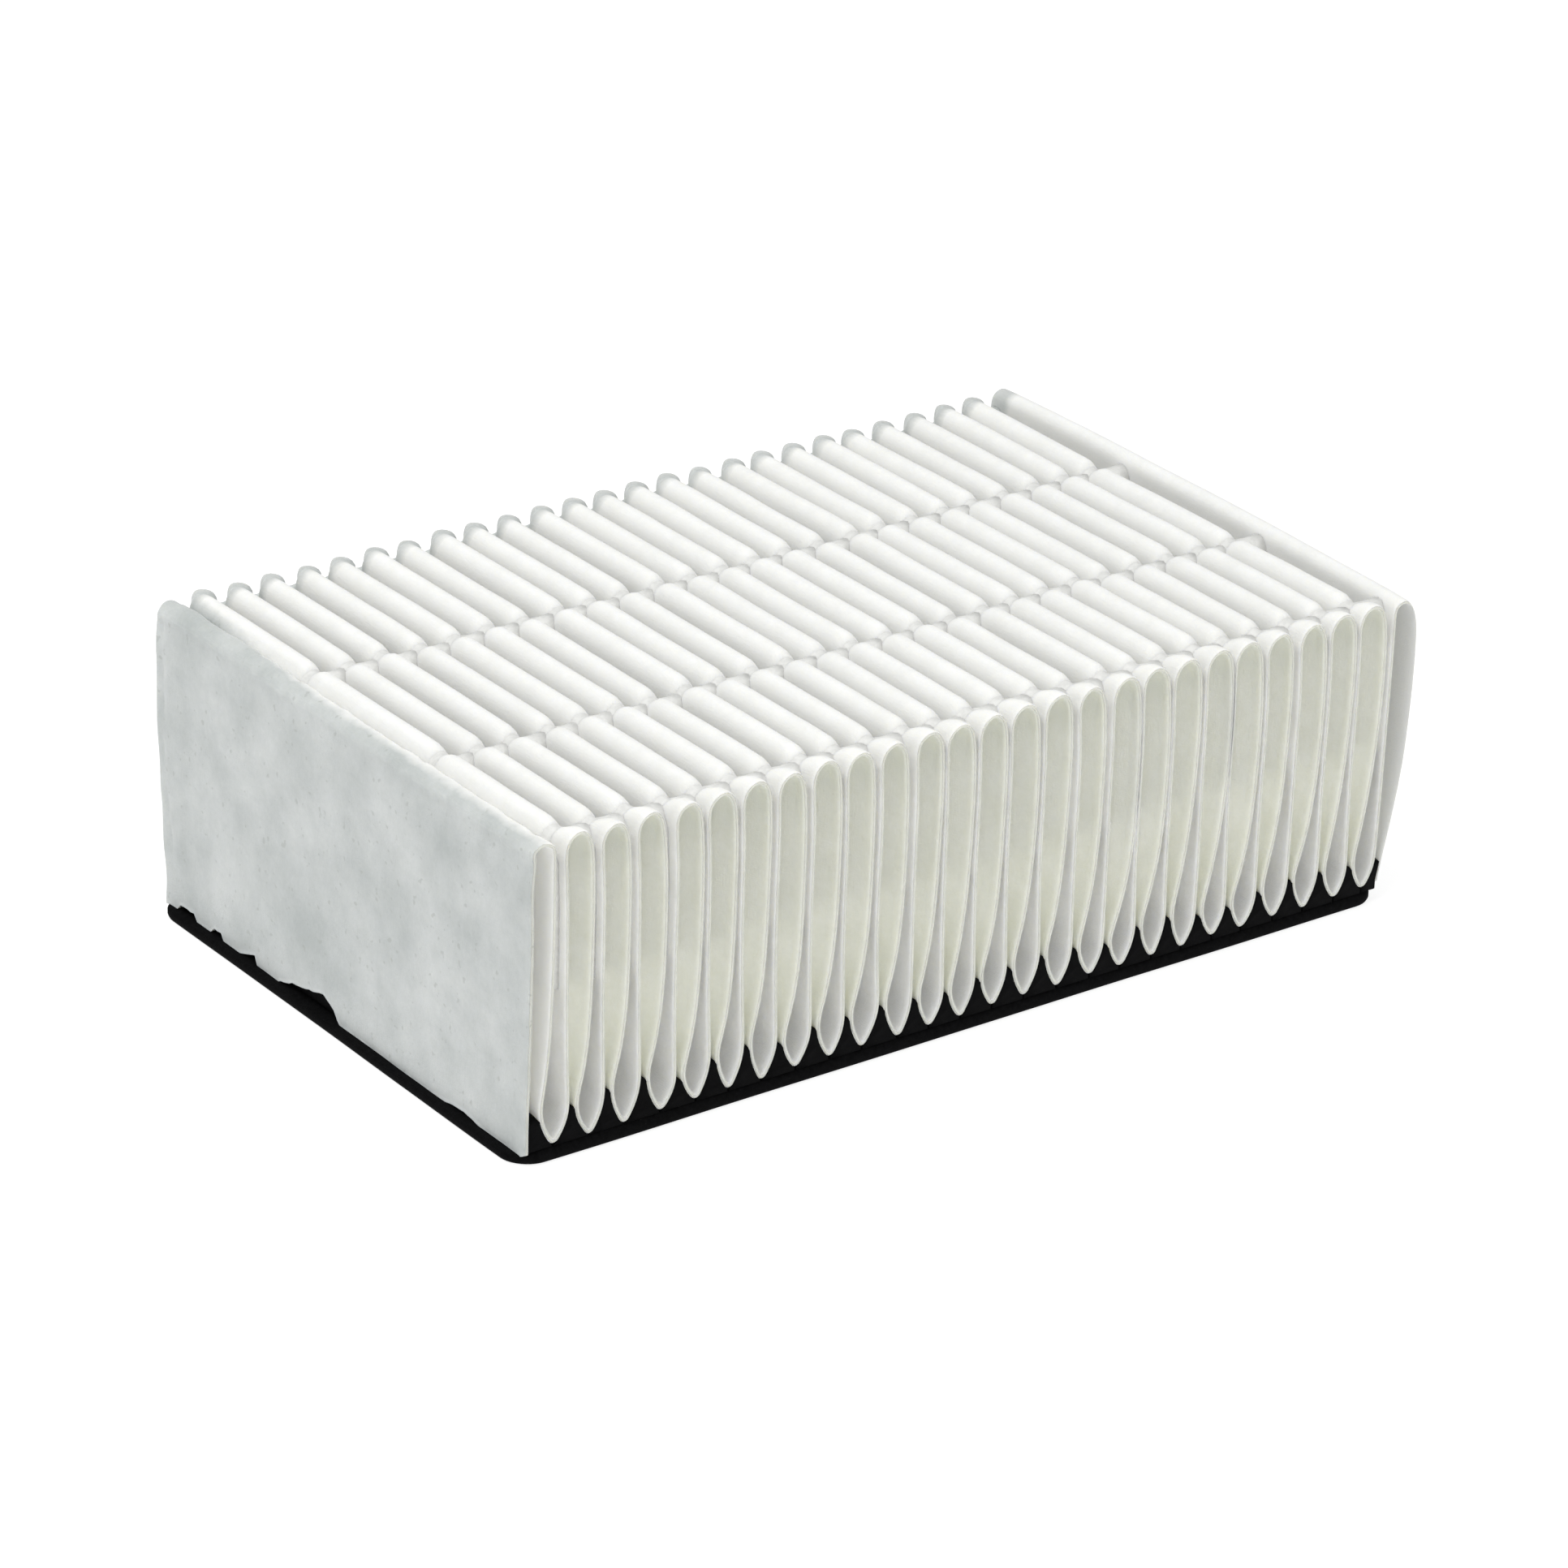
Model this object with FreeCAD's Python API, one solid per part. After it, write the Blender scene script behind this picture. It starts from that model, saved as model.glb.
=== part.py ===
"""Pleated air-filter insert.

One white nonwoven sheet is folded into upright pleats that are open at the front and the back.
Lines of hot melt hold the pleats apart, above and below. The lower folds stand on a thin soft
black gasket frame, and black sealant fills the gaps between them round the rim.

Origin at the centre of the overall outline, on the gasket's lower face. +X runs along the row
of pleats, +Y runs along each fold towards the back, +Z is up. Millimetres.
"""
import FreeCAD, Part
import math
import os

# Folded sheet
PLEAT_COUNT = 27
PITCH = 3.8               # crest to crest
SHEET_THICKNESS = 0.55
FOLD_WIDTH = 61.0         # length of every fold, front to back
OVERALL_HEIGHT = 32.5
PLEAT_LEAN = 0.7          # how far each crest stands to the right of the middle of its two tips
CREST_RADIUS = 1.12       # every radius is taken at the middle of the sheet's thickness
FIRST_SHOULDER_RADIUS = 1.5
TIP_RADIUS = 0.36
KNEE_RADIUS = 6.0         # where a wall turns from the long leg into the lower fold
LEFT_LEG_TAPER = 0.15     # degrees: how much a leg leans in below its crest
RIGHT_LEG_TAPER = 3.3
TIP_SLOPE = 22.0          # degrees: how much each wall flares out above the lower fold
FLAP_HEM_HEIGHT = 0.95    # lower edge of the left end flap, which stands in the gasket's rebate

# Last leg, which bulges out on the right
LAST_CREST_TURN = 75.0
SHOULDER_RADIUS = 23.0
SHOULDER_TURN = 15.0
LAST_LEG_TURN = 11.0

# Gasket frame and the sealant on it
GASKET_THICKNESS = 1.5
GASKET_LENGTH = 101.4
GASKET_WIDTH = 61.4
GASKET_RAIL = 6.0         # width of the frame's four rails
GASKET_CORNER_RADIUS = 2.8
WINDOW_CORNER_RADIUS = 2.0
GASKET_LIP = 0.9          # how far the gasket stands out on the left, past the end flap
LIP_HEIGHT = 0.9
FLAP_CLEARANCE = 0.05     # between the end flap and the gasket's rebate
SEALANT_HEIGHT = 3.4      # above the gasket
SEALANT_SETBACK = 0.3     # from the gasket's front and rear edges

# Hot-melt spacer lines, as distances from the front edge
BEAD_LINES = {"front": 2.7, "mid_front": 19.8, "mid_rear": 40.0, "rear": 59.2}
BEAD_WIDTH = 1.2
BEAD_MIDDLE_HEIGHT = 16.5  # the upper lines reach down to here and the lower lines up to here
BEAD_CREST_GAP = 0.9       # upper lines stop this far below the crest tops
BEAD_TIP_GAP = 0.1         # lower lines stop this far above the sealant or the gasket

HALF_THICKNESS = SHEET_THICKNESS / 2
CREST_TO_TIP = PITCH / 2 - PLEAT_LEAN
REACH = 5.0               # how far helper solids run past the part
SAME_LENGTH = 1e-6        # lengths closer than this are taken as equal


def solve_leg(span, taper_degrees):
    """Lengths of the long leg and of the flared wall that lead exactly from a crest to a tip."""
    taper = math.radians(taper_degrees)
    slope = math.radians(TIP_SLOPE)
    rise = OVERALL_HEIGHT - GASKET_THICKNESS - SHEET_THICKNESS
    across = span - CREST_RADIUS * math.cos(taper) - TIP_RADIUS * math.cos(slope)
    across -= KNEE_RADIUS * (math.cos(taper) - math.cos(slope))
    down = rise - CREST_RADIUS * (1 + math.sin(taper)) - TIP_RADIUS * (1 - math.sin(slope))
    down -= KNEE_RADIUS * (math.sin(taper) + math.sin(slope))
    together = math.sin(taper + slope)
    leg = (down * math.sin(slope) - across * math.cos(slope)) / together
    flare = (across * math.cos(taper) + down * math.sin(taper)) / together
    return leg, flare


def line(length):
    return ("line", length, 0.0)


def arc(radius, turn):
    """A turn to the left is positive, in degrees."""
    return ("arc", radius, turn)


def wall_moves(span, taper):
    """From a crest's top down to the bottom of a tip."""
    leg, flare = solve_leg(span, taper)
    return [
        arc(CREST_RADIUS, -90 - taper),
        line(leg),
        arc(KNEE_RADIUS, taper + TIP_SLOPE),
        line(flare),
        arc(TIP_RADIUS, 90 - TIP_SLOPE),
    ]


def last_leg_moves():
    """From the last crest's top over its shoulder and down the bulged leg to the gasket."""
    crest_drop = CREST_RADIUS * (1 - math.cos(math.radians(LAST_CREST_TURN)))
    shoulder_drop = SHOULDER_RADIUS * math.sin(math.radians(SHOULDER_TURN))
    foot_lift = HALF_THICKNESS * math.sin(math.radians(LAST_LEG_TURN))
    leg_drop = OVERALL_HEIGHT - HALF_THICKNESS - crest_drop - shoulder_drop
    leg_drop -= GASKET_THICKNESS + foot_lift
    return [
        arc(CREST_RADIUS, -LAST_CREST_TURN),
        arc(SHOULDER_RADIUS, -SHOULDER_TURN),
        arc(leg_drop / math.sin(math.radians(LAST_LEG_TURN)), -LAST_LEG_TURN),
    ]


def sheet_moves():
    """The whole fold line from the flap's hem to the foot of the last leg."""
    flap = OVERALL_HEIGHT - HALF_THICKNESS - FIRST_SHOULDER_RADIUS - FLAP_HEM_HEIGHT
    falling = wall_moves(CREST_TO_TIP, RIGHT_LEG_TAPER)
    rising = wall_moves(PITCH - CREST_TO_TIP, LEFT_LEG_TAPER)[::-1]
    moves = [line(flap), arc(FIRST_SHOULDER_RADIUS, -90)]
    for _ in range(PLEAT_COUNT - 1):
        moves += falling + rising
    return moves + last_leg_moves()


def sheet_length():
    """From the flap's outer face to the widest place of the last leg."""
    row = (PLEAT_COUNT - 1) * PITCH + FIRST_SHOULDER_RADIUS + SHEET_THICKNESS
    last_crest = CREST_RADIUS * math.sin(math.radians(LAST_CREST_TURN))
    shoulder = SHOULDER_RADIUS * (1 - math.sin(math.radians(90 - SHOULDER_TURN)))
    return row + last_crest + shoulder


RIGHT_END = (sheet_length() + GASKET_LIP) / 2
GASKET_LEFT = -RIGHT_END
LEFT_END = GASKET_LEFT + GASKET_LIP
FIRST_CREST = LEFT_END + HALF_THICKNESS + FIRST_SHOULDER_RADIUS
LAST_CREST = FIRST_CREST + (PLEAT_COUNT - 1) * PITCH
FIRST_TIP = FIRST_CREST + CREST_TO_TIP
LAST_TIP = LAST_CREST - PITCH + CREST_TO_TIP
FRONT_EDGE = -FOLD_WIDTH / 2


def vector(x, z, y=FRONT_EDGE):
    return FreeCAD.Vector(x, y, z)


def beside(x, z, heading, offset):
    """The point at a distance to the left of the path."""
    return x - offset * math.sin(heading), z + offset * math.cos(heading)


def sheet_side(offset):
    """Edges of the face that lies at a distance to the left of the sheet's middle."""
    x = LEFT_END + HALF_THICKNESS
    z = FLAP_HEM_HEIGHT
    heading = math.radians(90)
    edges = []
    for kind, size, turn_degrees in sheet_moves():
        start = vector(*beside(x, z, heading, offset))
        if kind == "line":
            x += size * math.cos(heading)
            z += size * math.sin(heading)
            end = vector(*beside(x, z, heading, offset))
            edges.append(Part.LineSegment(start, end).toShape())
            continue
        turn = math.radians(turn_degrees)
        radius = math.copysign(size, turn)
        centre_x, centre_z = beside(x, z, heading, radius)
        middle = vector(*beside(centre_x, centre_z, heading + turn / 2, offset - radius))
        heading += turn
        x, z = beside(centre_x, centre_z, heading, -radius)
        end = vector(*beside(x, z, heading, offset))
        edges.append(Part.Arc(start, middle, end).toShape())
    return edges


def ends(edges):
    return edges[0].valueAt(edges[0].FirstParameter), edges[-1].valueAt(edges[-1].LastParameter)


def extrude_between(edges, closing_points, length):
    """A prism along +Y from edges that a polyline closes."""
    first, last = ends(edges)
    closing = Part.makePolygon([last] + closing_points + [first]).Edges
    outline = Part.Wire(Part.__sortEdges__(edges + closing))
    return Part.Face(outline).extrude(FreeCAD.Vector(0, length, 0))


def pleated_media():
    upper = sheet_side(HALF_THICKNESS)
    lower = sheet_side(-HALF_THICKNESS)
    caps = [Part.LineSegment(a, b).toShape() for a, b in zip(ends(upper), ends(lower))]
    outline = Part.Wire(Part.__sortEdges__(upper + lower + caps))
    return Part.Face(outline).extrude(FreeCAD.Vector(0, FOLD_WIDTH, 0))


def space_above_sheet():
    top = OVERALL_HEIGHT + REACH
    right = RIGHT_END + REACH
    left = LEFT_END - REACH
    upper = sheet_side(HALF_THICKNESS)
    first, last = ends(upper)
    corners = [vector(right, last.z), vector(right, top), vector(left, top), vector(left, first.z)]
    return extrude_between(upper, corners, FOLD_WIDTH)


def space_below_sheet():
    lower = sheet_side(-HALF_THICKNESS)
    first, last = ends(lower)
    return extrude_between(lower, [vector(last.x, -REACH), vector(first.x, -REACH)], FOLD_WIDTH)


def slab(x_range, y_range, z_range):
    size = [high - low for low, high in (x_range, y_range, z_range)]
    corner = FreeCAD.Vector(x_range[0], y_range[0], z_range[0])
    return Part.makeBox(size[0], size[1], size[2], corner)


def rounded_plate(x_range, half_width, radius, z_range):
    plate = slab(x_range, (-half_width, half_width), z_range)
    height = plate.BoundBox.ZLength
    upright = [edge for edge in plate.Edges if abs(edge.BoundBox.ZLength - height) < SAME_LENGTH]
    return plate.makeFillet(radius, upright)


def gasket_frame():
    """A flat frame with a rebate for the end flap, round a window that lets the air through."""
    outer_range = (GASKET_LEFT, GASKET_LEFT + GASKET_LENGTH)
    window_range = (outer_range[0] + GASKET_RAIL, outer_range[1] - GASKET_RAIL)
    half = GASKET_WIDTH / 2
    body = rounded_plate(outer_range, half, GASKET_CORNER_RADIUS, (0, GASKET_THICKNESS))
    window = rounded_plate(window_range, half - GASKET_RAIL, WINDOW_CORNER_RADIUS,
                           (-REACH, GASKET_THICKNESS + REACH))
    rebate = slab((GASKET_LEFT - REACH, LEFT_END + SHEET_THICKNESS + FLAP_CLEARANCE),
                  (-half - REACH, half + REACH), (LIP_HEIGHT, GASKET_THICKNESS + REACH))
    return body.cut(window).cut(rebate)


def sealant_strips():
    """Sealant between the lower folds: along both ends, and in the front and rear edges."""
    half = GASKET_WIDTH / 2 - SEALANT_SETBACK
    depth = GASKET_RAIL - SEALANT_SETBACK
    heights = (GASKET_THICKNESS, GASKET_THICKNESS + SEALANT_HEIGHT)
    tip_row = (FIRST_TIP, LAST_TIP)
    below = space_below_sheet()
    return {
        "sealant_left": below.common(slab((LEFT_END, FIRST_TIP), (-half, half), heights)),
        "sealant_right": below.common(slab((LAST_TIP, RIGHT_END), (-half, half), heights)),
        "sealant_front": below.common(slab(tip_row, (-half, depth - half), heights)),
        "sealant_rear": below.common(slab(tip_row, (half - depth, half), heights)),
    }


def spacer_beads():
    """Hot melt in the gaps at each line: from above in the valleys, from below under the crests."""
    above = space_above_sheet()
    below = space_below_sheet()
    crest_row = (FIRST_CREST, LAST_CREST)
    tip_row = (FIRST_TIP, LAST_TIP)
    sealant_top = GASKET_THICKNESS + SEALANT_HEIGHT
    beads = {}
    for name, distance in BEAD_LINES.items():
        middle = FRONT_EDGE + distance
        band = (middle - BEAD_WIDTH / 2, middle + BEAD_WIDTH / 2)
        over_rail = abs(middle) > GASKET_WIDTH / 2 - GASKET_RAIL
        lowest = (sealant_top if over_rail else GASKET_THICKNESS) + BEAD_TIP_GAP
        upper_range = (BEAD_MIDDLE_HEIGHT, OVERALL_HEIGHT - BEAD_CREST_GAP)
        beads["upper_bead_" + name] = above.common(slab(crest_row, band, upper_range))
        beads["lower_bead_" + name] = below.common(slab(tip_row, band, (lowest, BEAD_MIDDLE_HEIGHT)))
    return beads


def main():
    nodes = {"pleated_media": pleated_media(), "gasket_frame": gasket_frame()}
    nodes.update(sealant_strips())
    nodes.update(spacer_beads())
    os.makedirs("parts", exist_ok=True)
    for name, shape in nodes.items():
        solids = Part.makeCompound(shape.Solids) if len(shape.Solids) > 1 else shape.Solids[0]
        solids.exportStep("parts/" + name + ".step")
        print(name, len(shape.Solids), "solids", round(shape.Volume, 1), "mm3", "valid", solids.isValid())


main()
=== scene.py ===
"""Looks of a pleated air-filter insert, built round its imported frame.

Shapes are worked out in millimetres and turned into metres when a mesh is made. The sheet is
followed from the hem of the left end flap, over every crest and round every tip, to the foot of
the bulged last leg.
"""
import math

import bpy
import numpy as np
from mathutils import Matrix, Vector


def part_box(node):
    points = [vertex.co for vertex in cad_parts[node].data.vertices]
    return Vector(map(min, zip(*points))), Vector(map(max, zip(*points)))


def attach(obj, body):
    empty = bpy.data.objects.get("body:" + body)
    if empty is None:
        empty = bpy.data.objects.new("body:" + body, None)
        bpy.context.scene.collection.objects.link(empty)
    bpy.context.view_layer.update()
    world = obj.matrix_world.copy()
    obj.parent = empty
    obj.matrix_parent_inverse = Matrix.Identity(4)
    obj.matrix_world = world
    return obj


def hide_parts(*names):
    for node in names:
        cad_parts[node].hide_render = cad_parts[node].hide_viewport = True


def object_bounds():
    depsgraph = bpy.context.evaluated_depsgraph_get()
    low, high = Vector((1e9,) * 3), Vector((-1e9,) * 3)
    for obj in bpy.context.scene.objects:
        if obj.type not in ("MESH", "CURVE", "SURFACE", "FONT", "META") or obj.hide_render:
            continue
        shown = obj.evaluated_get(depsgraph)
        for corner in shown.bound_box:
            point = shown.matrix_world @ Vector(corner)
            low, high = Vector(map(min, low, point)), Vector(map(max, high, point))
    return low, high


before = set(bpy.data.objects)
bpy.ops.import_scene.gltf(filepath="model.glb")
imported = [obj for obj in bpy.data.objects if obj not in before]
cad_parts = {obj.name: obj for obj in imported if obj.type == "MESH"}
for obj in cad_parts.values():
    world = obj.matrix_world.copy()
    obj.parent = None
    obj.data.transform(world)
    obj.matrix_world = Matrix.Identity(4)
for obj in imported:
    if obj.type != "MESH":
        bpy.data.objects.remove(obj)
CAD_LOW, CAD_HIGH = [list(corner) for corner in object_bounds()]
MM = 0.001


def box_mm(node):
    low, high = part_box(node)
    return np.array(low) / MM, np.array(high) / MM


MEDIA_LOW, MEDIA_HIGH = box_mm("pleated_media")
GASKET_LOW, GASKET_HIGH = box_mm("gasket_frame")
LEFT = MEDIA_LOW[0]           # outer face of the end flap
FRONT = MEDIA_LOW[1]
BACK = MEDIA_HIGH[1]
CREST_TOP = MEDIA_HIGH[2]
GASKET_TOP = GASKET_HIGH[2]

# ---------- the folded sheet
PLEATS = 27
PITCH = 3.8
THICKNESS = 0.46
FIRST_TIP = 3.05              # from the flap's outer face
PITCH_DRIFT = 0.42            # how far the middle pleats sit to the right of even spacing
PITCH_WAVE = 0.13             # how far a slow wave along the row moves them
WAVE_PLEATS = 6.6             # the wave's length, in pleats
WAVE_TOP = 3.5                # and the pleat where it is highest
TIP_SCATTER = 0.05
TIP_SWAY = 0.07               # how far each lower fold wanders along its length

# Slices: the sheet's shape is worked out at these distances from the front
EDGE_STEP = 0.07              # between the outermost slices, which carry the rounded cut edges
FINE_STEP = 0.21              # between slices near an edge or a spacer line
COARSE_STEP = 0.6             # and elsewhere
EDGE_REACH = 1.0              # how near an edge, and how near a line, that is
LINE_REACH = 1.4
LAST_GAP = 0.3                # left at the back for the outermost slices there

# Crests. Their middles reach from FRONT_END behind the front edge to BACK_END before the back edge.
FRONT_END = 3.2
BACK_END = 2.0
CREST_RADIUS = (1.22, 1.34)   # at the left end of the row and at its right end
RADIUS_SCATTER = 0.03
CREST_POINT = 1.6             # the inner crests are this many radii tall
CREST_OFFSET = (0.22, 0.90)   # to the right of the pinch below, at the same two ends
CREST_SCATTER = 0.07
HEIGHT_SCATTER = 0.06
SETTLE = 0.35                 # the crests' front ends stand this far under the top of the box
END_RISE = 0.15               # their middles are this much higher
BACK_DROP = 0.35              # and their rear ends this much lower
END_SHIFT = 0.76              # the middles also stand this far to the left
BACK_SHIFT = 0.28             # and up to this much further towards the back
FRONT_LEAN = 0.38             # the front ends' tops stand this far to the right
FRONT_SHOULDER = 0.32         # and their left sides are drawn out by this share
REAR_LEAN = 0.42              # the rear ends' tops stand this far to the left
REAR_SHOULDER = 1.3           # their right sides are drawn out by this share
REAR_STEEPNESS = 0.5          # and their left sides drawn in by this one
REAR_NARROWING = 0.26         # how much slimmer the crests are at their rear ends
TOP_BEND = 0.40               # the top of an inner pleat bends this far to the left,
BEND_START = 25.5             # from this height
BEND_RISE = 6.0               # over this much

# Walls, pinches and tips
PINCH_HALF_GAP = 0.46         # from the middle of a pleat to its walls' middles, at the narrowest
PINCH_HEIGHT = 5.7
PINCH_SCATTER = 0.35
LEG_POWER = (6.0, 3.3)        # how late the right walls turn in, at the two ends of the row
LEG_POWER_SCATTER = 0.4
LEFT_LEG_POWER = 3.5          # and the left walls
LEG_ROWS = 14
LEG_BUNCHING = 1.35           # above 1, rows lie closer together at the foot of a wall
WALL_BOW = {1: 0.11, -1: 0.08}   # how far right and left walls bow, changing slowly along them
WALL_ESS = 0.05               # how far they also bend like an S
WALL_SET = 0.07               # and how far a whole wall is set to one side
LEAF_POWER = 2.5              # how late the wall between a pinch and a tip turns in
LEAF_ROWS = 7
TIP_RADIUS = 0.40
TIP_TURN = 50                 # degrees each way from the tip's lowest point
TIP_ROWS = 7
BACK_LEAN = 0.027             # share by which the upper pack is deeper, front to back, than its base,
LEAN_START = 3.5              # growing from this height
LEAN_RISE = 24.0              # over this much

# The two end pleats
FIRST_CREST_PLACE = 1.36
FIRST_CREST_RADIUS = 1.12
FIRST_CREST_END_SHIFT = 0.14
FIRST_CREST_DROP = (0.30, 0.25)   # all along, and more in the middle
FIRST_CREST_LUMPS = 0.12
LAST_CREST_PLACE = 100.78
LAST_CREST_RADIUS = 1.08
LAST_CREST_DROP = 0.62        # under the top of the box, at its ends
LAST_CREST_BULGE = 0.66       # and how much its middle rises again
# The last leg's middle from its crest down: distance from the flap's outer face, and height
LAST_LEG = [(101.3, 31.5), (101.68, 31.15), (102.03, 30.55), (102.32, 29.7), (102.52, 28.6),
            (102.64, 27.2), (102.68, 24.8), (102.64, 22.0), (102.48, 18.2), (102.2, 14.4),
            (101.68, 10.8), (101.08, 7.5), (100.52, 4.7), (100.02, 2.2)]
LAST_LEG_THINNING = 0.68      # how much thinner the sheet looks along the last leg's stretched fold
THINNING_ROWS = 6.0
LAST_LEG_SWAY = 0.09
LAST_LEG_LUMPS = 0.05

# The end flap
FLAP_ROWS = 60
FLAP_LEAN_IN = 0.30           # its top few millimetres lean in this far
FLAP_LEAN_START = 26.0
FLAP_LEAN_RISE = 5.0
FLAP_RELIEF = ((9.0, 9.0, 0.10), (3.0, 3.5, 0.035))   # rows and millimetres between knots, and depth
DENT_LEVELS = (8.5, 31.0, 4.2)           # the rear dents' first height, end and step
DENT_DEPTH = 0.24
DENT_HALF_HEIGHT = 1.25
DENT_HALF_WIDTH = 0.5
# Its torn hem: distance from the front, and height
HEM = [(0.0, 1.3), (1.2, 0.75), (6.0, 0.65), (9.5, 1.35), (13.5, 0.85), (22.0, 0.65),
       (30.6, 0.85), (31.3, 2.1), (33.2, 2.95), (36.5, 2.1), (38.5, 1.8), (41.0, 0.95),
       (44.7, 0.6), (45.0, 1.9), (48.0, 1.0), (50.6, 0.9), (51.0, 1.65), (52.4, 1.55),
       (53.0, 0.95), (55.4, 1.0), (56.0, 1.7), (58.4, 1.55), (59.0, 0.9), (61.0, 0.8)]
HEM_WAVES = ((0.06, 2.3), (0.08, 0.7))   # smaller unevenness on it: height and length

# Cut edges
EDGE_ROUNDING = 0.42          # how much thinner the sheet is at its very edge
FRONT_FRAY = (0.05, 0.4)      # how far the front edge wanders, and how far in that is felt
BACK_FRAY = (0.05, 0.8)       # and the back edge
FLAP_FRAY = 0.09              # the flap's back edge wanders this much more

# ---------- the spacer lines
LINE_PLACES = {"front": 2.7, "mid_front": 19.8, "mid_rear": 40.0, "rear": 59.9}
LINE_STRENGTH = {"front": 1.0, "mid_front": 1.0, "mid_rear": 1.0, "rear": 0.55}
LINE_NAMES = list(LINE_PLACES)
LINE_SWAY = 0.22
LINE_SCATTER = 0.07
NOTCH_HALF_WIDTH = 0.92
NOTCH_DEPTH = 0.66
NOTCH_POWER = 2.3             # above 2, a notch has a flatter floor and steeper ends
NOTCH_STRENGTHS = (0.8, 1.12)
FIRST_NOTCH = 0.25            # the first and last crests are pinched much less
LAST_NOTCH = 0.1
SIDE_HOLD = 0.8               # a crest's sides escape this share of its notch
LINE_FOOT = 16.5              # half-way up: upper lines reach down to it, lower lines up to it
UPPER_SINK = 0.20             # an upper line's melt lies this far below its notches
FIRST_SINK = 0.5              # in the first valley this much lower still
REAR_SINK = 1.1               # and in the rear line this much
UPPER_OVERLAP = 0.13          # how far melt reaches into the walls beside it
LOWER_OVERLAP = 0.05
UPPER_DIP = 0.12              # an upper line's melt is this much lower midway between its walls
LOWER_PEAK = 0.2              # and a lower line's this much higher
LINE_MARGIN = 0.1             # melt stays this far from the cut edges
LINE_LEVELS = 12
STRAP_HALF_WIDTH = 0.72
STRAP_RIPPLE = 0.06
STRAP_MARGIN = 0.05
STRAP_ROWS = (-6, 8)          # rows of the sheet from the crest's top at which a strap starts and ends

# Lengthwise shape of the melt in a valley: distance from its middle, and how far its top is lower there
MOUND_HALF = [(0, 0), (0.5, 0.1), (0.9, 0.45), (1.2, 1.0), (1.5, 1.9)]
MOUND = [(-away, lower) for away, lower in MOUND_HALF[:0:-1]] + MOUND_HALF

# Outline of a strap across its width: place in half widths, and height over the sheet
STRAP_RING = [(-1, -0.06), (-0.8, -0.02), (-0.4, 0.02), (0, 0.03), (0.4, 0.02), (0.8, -0.02),
              (1, -0.06), (0, -0.12)]

# A lower line's melt: distance from its middle, and how far it is drawn in there
BEAD_STEPS = ((-0.6, 0.25), (-0.45, 0.0), (0.45, 0.0), (0.6, 0.25))
BEAD_END_DROP = 0.6

# ---------- the gasket and the sealant
RAIL = 6.0
OUTER_CORNER = 2.8
INNER_CORNER = 2.0
CORNER_STEPS = 10
SIDE_STEPS = (60, 40)
LIP_TOP = 0.9                 # the gasket's rim outside the flap stays this low
GASKET_WAVE = 0.10
# A rail's section: share of the way from the window to the outer rim, and height
GASKET_PROFILE = [(0.0, 0.25), (0.02, 0.06), (0.08, 0.0), (0.5, 0.0), (0.93, 0.0), (0.985, 0.10), (1.0, 0.35),
                  (1.0, 0.7), (0.985, 1.0), (0.94, 1.25), (0.87, GASKET_TOP), (0.5, GASKET_TOP),
                  (0.06, GASKET_TOP), (0.0, GASKET_TOP - 0.15)]
SEALANT_STEPS = (0.08, 0.3, 1.5, 3.0, 4.5, 5.3, 5.6)   # in from the front and from the rear edge
SEALANT_LEVELS = 8
SEALANT_SINK = 0.15           # into the gasket
SEALANT_OVERLAP = 0.06        # into the walls
SEALANT_UNDER_PINCH = 1.05
SEALANT_WAVE = 0.25
SEALANT_END_DROP = 0.25
SEALANT_PEAK = 0.1
FLAP_INSIDE = 0.42            # where the sealant meets the end flap
LAST_LEG_GAP = 0.02           # how much less it reaches into the last leg, which is thinner
END_SEALANT_MARGIN = 0.12
END_SEALANTS = (("left", 0, 4.6), ("right", PLEATS - 1, 4.3))   # name, crest above, and height

# ---------- colours
MIX_FACTOR, MIX_FIRST, MIX_SECOND, MIX_RESULT = 0, 6, 7, 2   # a Mix node's sockets for colours
NOISE_ROUGHNESS = 0.55
FLEECE_SHADING = {"Sheen Weight": 0.15, "Sheen Roughness": 0.6, "Subsurface Weight": 0.75,
                  "Subsurface Radius": (1.0, 0.97, 0.85), "Subsurface Scale": 0.5 * MM}
FIBRE_WIDTH = 0.10
# How the three sets of fibres are drawn out and turned
FIBRE_DIRECTIONS = (((1, 9, 9), (0.3, 0.2, 0.5)), ((9, 1, 9), (0.5, 0.3, 0.9)), ((9, 9, 1), (0.9, 0.4, 0.2)))
SPECK_SIZE = 0.8
# painted shade on the end flap, reaching over the first crest:
FLAP_SHADE_REACH = 0.75             # how far the flap's grey runs over the first crest
FLAP_SHADE_SPREAD = 1.7             # and how much further at the back,
FLAP_SHADE_SPREAD_SPAN = (26.0, 4.0)   # growing between these distances from the back edge
SHADE_FADE = 1.1
SHADE_WANDER = 0.45
# painted shade on the crests' rear ends:
REAR_SHADE_START = -1.5        # the grey rear ends begin here, from the base's back edge
REAR_SHADE_AMOUNT = 0.8
# painted shade in the grooves between the crests, set by height:
GROOVE_HEAD = (1.5, 0.25)     # the groove tone is full, and gone, this far under the box's top
GROOVE_FOOT = (5.5, 3.0)      # and further down it is gone, and full, here
FIRST_GROOVE = (2.6, 3.1)     # left of here, from the flap's outer face, it lies lower
FIRST_GROOVE_LIFT = 0.55
# painted light inside the first pleat and painted shade inside the last, on the inner face:
INSIDE_FIRST = (3.6, 4.2)     # the end tones of the sheet's inner face reach to here
INSIDE_LAST = (99.4, 100.0)   # and start here
FLEECE_WHITES = ((0.86, 0.86, 0.84), (0.93, 0.93, 0.915))
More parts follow.
